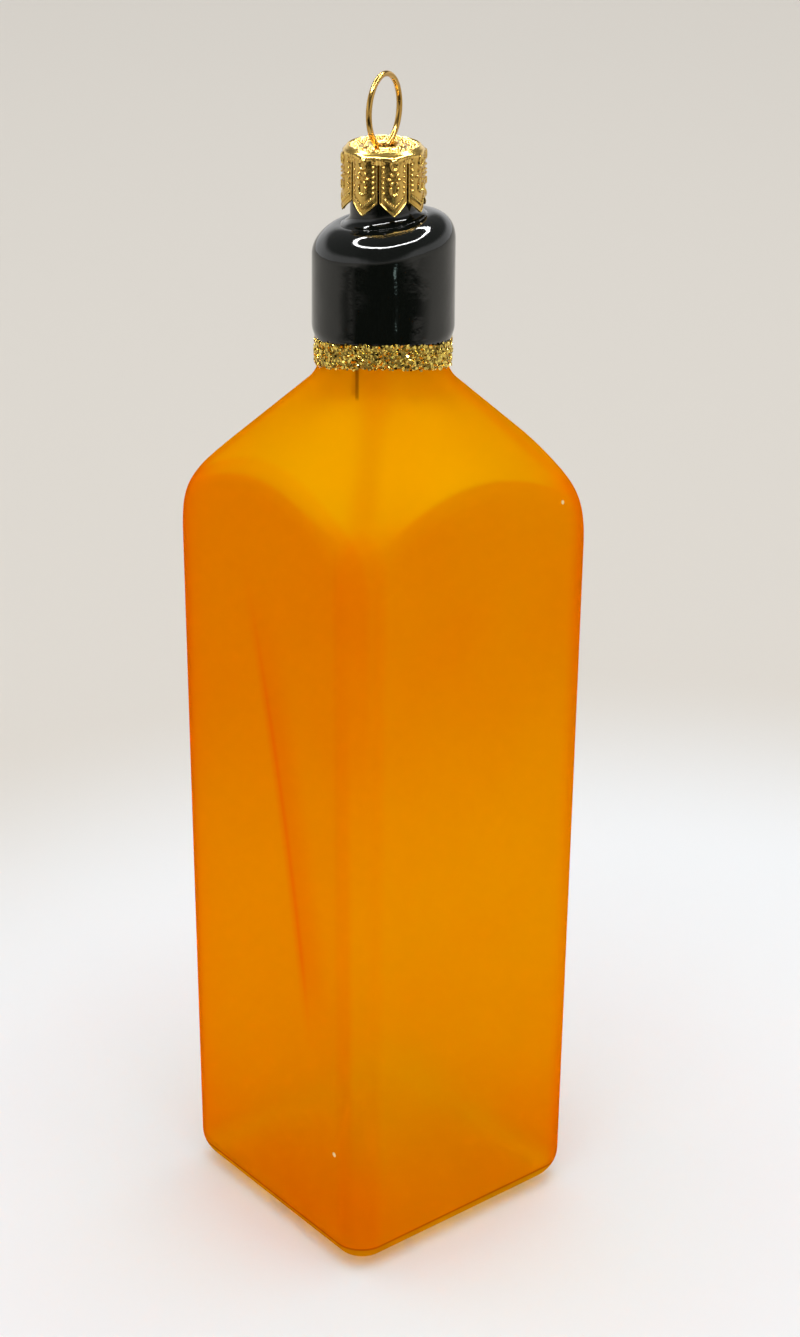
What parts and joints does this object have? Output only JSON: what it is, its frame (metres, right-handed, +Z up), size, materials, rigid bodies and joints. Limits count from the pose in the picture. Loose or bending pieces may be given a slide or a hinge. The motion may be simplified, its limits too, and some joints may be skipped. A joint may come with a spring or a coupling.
{
  "type": "hanging glass bottle ornament",
  "caption": "Blown-glass hanging ornament shaped as a square spirit bottle with a black stopper bulb, glitter band, crown cap and wire loop.",
  "frame": {"origin": "centre of the flat base, on the axis of the neck", "axes": "+Z up along the neck's axis, X and Y square to the body's flat faces"},
  "size_m": [0.0384, 0.0384, 0.1535],
  "materials": {
    "satin_orange_glass": "satin, translucent",
    "black_lacquer": "high gloss",
    "gold_glitter": "glitter flakes in glue",
    "stamped_brass": "polished, embossed",
    "gilt_spring_wire": "polished"
  },
  "bodies": {
    "glass": {"glass_bottle": "satin_orange_glass", "stopper_lacquer": "black_lacquer", "glitter_band": "gold_glitter"},
    "cap": {"crown_cap": "stamped_brass"},
    "hanger": {"hanger_loop": "gilt_spring_wire", "spring_leg_front": "gilt_spring_wire", "spring_leg_back": "gilt_spring_wire"}
  },
  "joints": [
    {"name": "cap_lift", "type": "slide", "parent": "glass", "child": "cap", "axis": [0, 0, 1], "range_m": [0, 0.03], "deforming": ["spring_leg_front", "spring_leg_back"]},
    {"name": "hanger_swivel", "type": "hinge", "parent": "cap", "child": "hanger", "pos_m": [0, 0, 0.1445], "axis": [0, 0, 1], "continuous": true}
  ]
}
